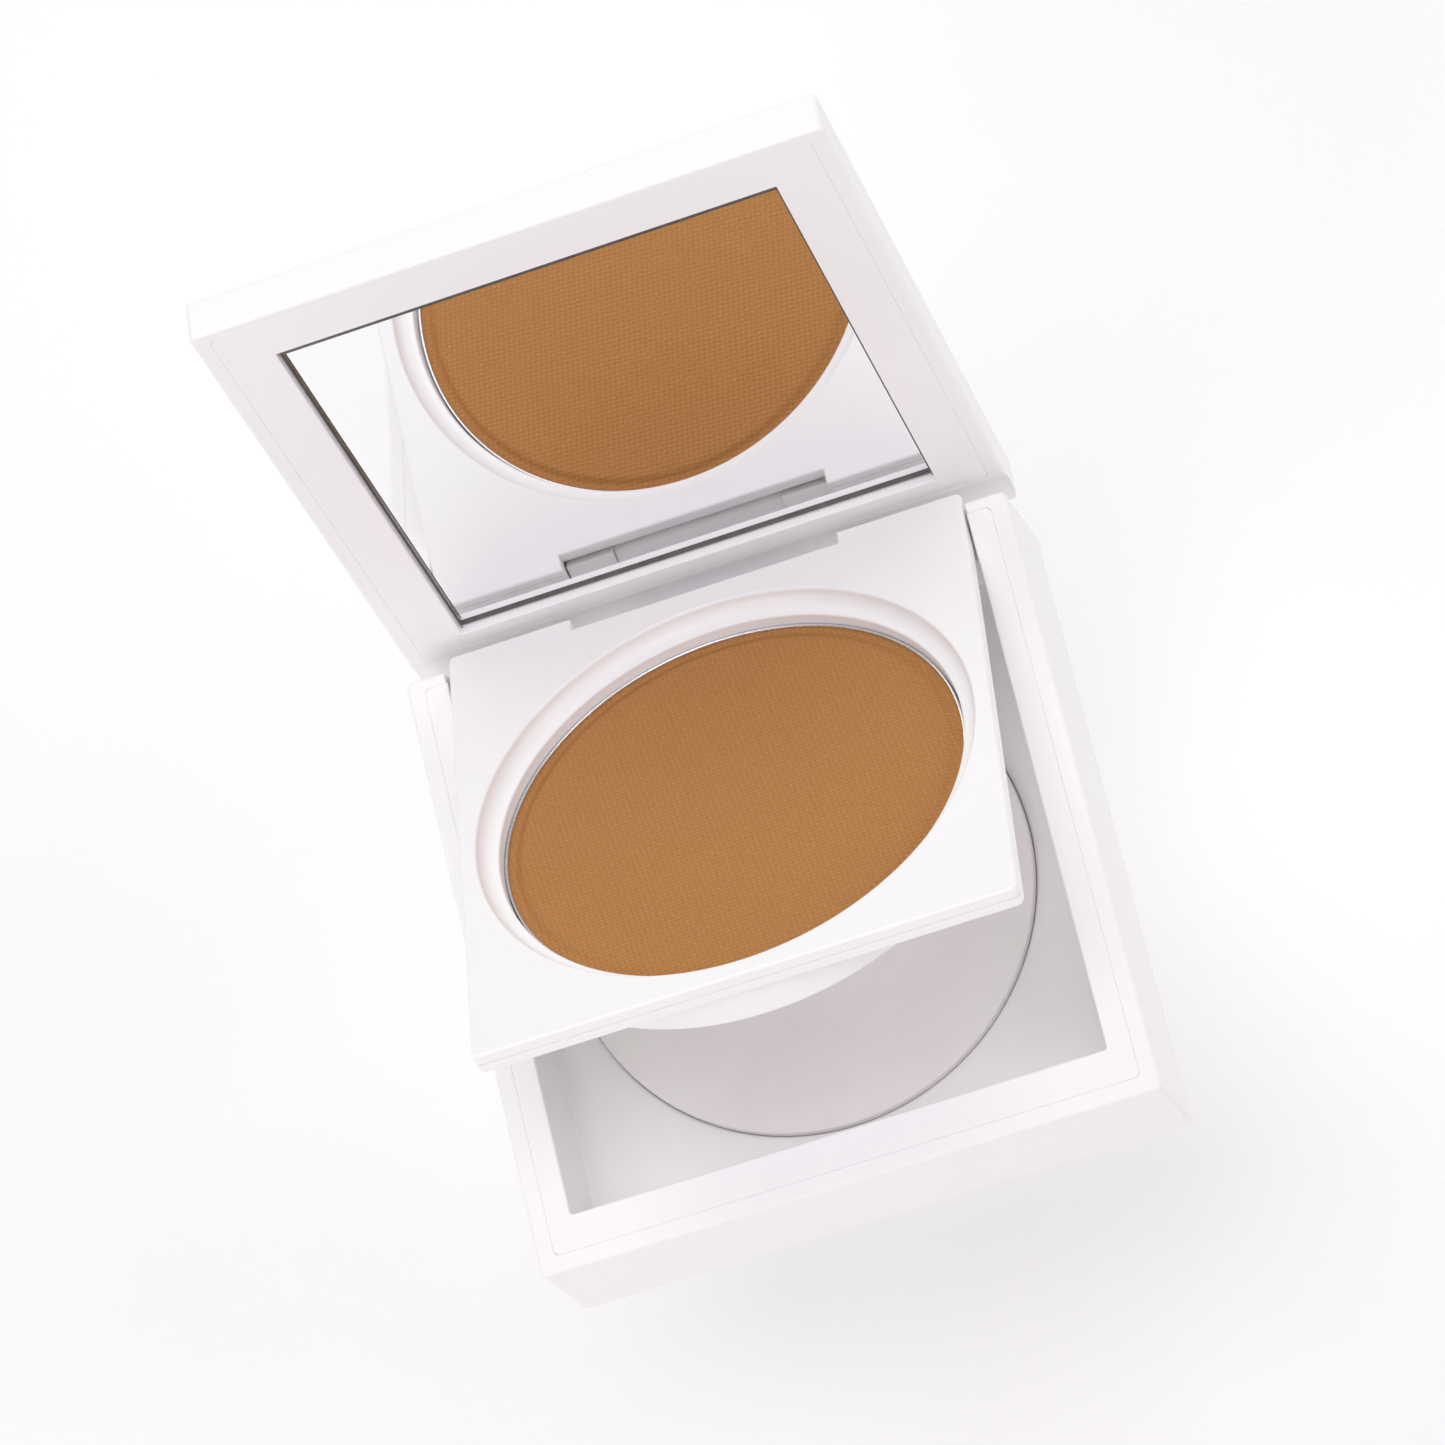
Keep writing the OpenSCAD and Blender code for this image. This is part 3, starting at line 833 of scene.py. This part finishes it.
def powder_cake():
    """Disc of powder with a raised field, a sloping shoulder and a fine uneven surface."""
    cells = 180
    shoulder_in, shoulder_out, drop = 27.2, 28.0, 0.3
    ripple = 0.012

    def height(x, y):
        r = np.hypot(x, y)
        t = np.clip((r - shoulder_in) / (shoulder_out - shoulder_in), 0, 1)
        rise = -drop * t * t * (3 - 2 * t)
        fade = np.clip((POWDER_R - 0.3 - r) / 0.4, 0, 1)
        unevenness = np.sin(1.9 * y + np.sin(0.7 * x)) + np.sin(2.3 * x + np.sin(0.9 * y))
        return rise + ripple * unevenness * fade

    # square grid pulled into a disc, so that the rim is a true circle
    line = np.linspace(-1, 1, cells + 1)
    a, b = np.meshgrid(line, line, indexing="ij")
    wide = np.abs(a) >= np.abs(b)
    with np.errstate(divide="ignore", invalid="ignore"):
        angle = np.where(wide, np.pi / 4 * b / a, np.pi / 2 - np.pi / 4 * a / b)
    radius = np.where(wide, a, b)
    angle = np.nan_to_num(angle)
    x, y = radius * np.cos(angle) * POWDER_R, radius * np.sin(angle) * POWDER_R
    z = POWDER.z1 + height(x, y)
    bm = bmesh.new()
    rows = [[bm.verts.new((x[i, j], y[i, j] + PAN.mid_y, z[i, j])) for j in range(cells + 1)]
            for i in range(cells + 1)]
    for i in range(cells):
        for j in range(cells):
            bm.faces.new((rows[i][j], rows[i + 1][j], rows[i + 1][j + 1], rows[i][j + 1]))
    rim = [e for e in bm.edges if e.is_boundary]
    skirt = bmesh.ops.extrude_edge_only(bm, edges=rim)["geom"]
    for v in (g for g in skirt if isinstance(g, bmesh.types.BMVert)):
        v.co.z = POWDER.z0
    bmesh.ops.contextual_create(bm, geom=[e for e in bm.edges if e.is_boundary])
    bmesh.ops.recalc_face_normals(bm, faces=bm.faces)
    return add_piece("powder_cake", bm, "tray", powder_look, "pressed_powder", 50)


for make in (base_shell, base_liner, sponge, lid_shell, mirror_frame, mirror_plate, mirror_edge,
             mirror_bevel, tray_top, tray_underside, powder_pan, powder_cake):
    make()


# ------------------------------------------------------------------ camera, light and floor

# Fitted to the edges of the object in the photograph
CAMERA_AIM = Vector((-3.1, 24.7, 10.2)) * MM
CAMERA_AZIMUTH, CAMERA_ELEVATION, CAMERA_ROLL = 27.3255, 66.7090, 43.1933
CAMERA_DISTANCE = 0.875
CAMERA_LENS = 176.07


def add_camera():
    data = bpy.data.cameras.new("camera")
    camera = bpy.data.objects.new("camera", data)
    scene.collection.objects.link(camera)
    a, e = math.radians(CAMERA_AZIMUTH), math.radians(CAMERA_ELEVATION)
    back = Vector((math.sin(a) * math.cos(e), -math.cos(a) * math.cos(e), math.sin(e)))
    level = (-back).to_track_quat("-Z", "Y").to_matrix().to_4x4()
    roll = Matrix.Rotation(-math.radians(CAMERA_ROLL), 4, "Z")
    camera.matrix_world = Matrix.Translation(CAMERA_AIM + back * CAMERA_DISTANCE) @ level @ roll
    data.lens, data.sensor_width = CAMERA_LENS, 36
    data.clip_start, data.clip_end = 0.01, 20
    scene.camera = camera


# Round softboxes about the object: name, place in metres, watts, colour. The watts and
# colours were fitted to the photograph's tones and then changed one by one
SOFTBOXES = (
    ("soft_top", (0.0, 0.0, 1.1), 2.81, (0.97, 0.94, 1.0)),
    ("soft_front_left", (-0.55, -0.75, 0.45), 2.81, (1.0, 0.93, 0.98)),
    ("soft_right", (0.85, -0.1, 0.6), 1.95, (1.0, 0.92, 0.97)),
    ("soft_back_left", (-0.45, 0.65, 0.85), 2.13, (0.97, 1.0, 0.94)),
    ("soft_back_right", (0.45, 0.65, 0.85), 1.71, (0.96, 1.0, 0.9)),
)
SOFTBOX_SIZE = 0.6               # across, in metres
SOFTBOX_AIM = (0, 0, 0.02)       # where they all point, in metres
WORLD_COLOUR, WORLD_STRENGTH = (1, 0.99, 0.995), 0.45
FLOOR_DROP, FLOOR_REACH = 0.06, 3    # below the case, and out from it, in metres


def add_softbox(name, place, power, colour):
    data = bpy.data.lights.new(name, "AREA")
    data.shape, data.size, data.energy, data.color = "DISK", SOFTBOX_SIZE, power, colour
    light = bpy.data.objects.new(name, data)
    scene.collection.objects.link(light)
    light.location = place
    light.rotation_euler = (Vector(SOFTBOX_AIM) - Vector(place)).to_track_quat("-Z", "Y").to_euler()


def add_stage():
    floor_bm = bmesh.new()
    bmesh.ops.create_grid(floor_bm, x_segments=1, y_segments=1, size=FLOOR_REACH)
    floor = as_object(floor_bm, "floor")
    floor.location.z = -FLOOR_DROP
    n = Nodes("floor_paper")
    n.link(n.ramp(n.noise(0.02), [(0.3, 0.98), (0.7, 0.99)]), n.shader.inputs["Base Color"])
    n.set(Roughness=0.9, Specular_IOR_Level=0.1)
    floor.data.materials.append(n.material)
    world = bpy.data.worlds.new("studio")
    scene.world = world
    world.use_nodes = True
    background = world.node_tree.nodes["Background"]
    background.inputs["Color"].default_value = (*WORLD_COLOUR, 1)
    background.inputs["Strength"].default_value = WORLD_STRENGTH
    scene.view_settings.view_transform = "Standard"
    for name, place, power, colour in SOFTBOXES:
        add_softbox(name, place, power, colour)


add_camera()
add_stage()
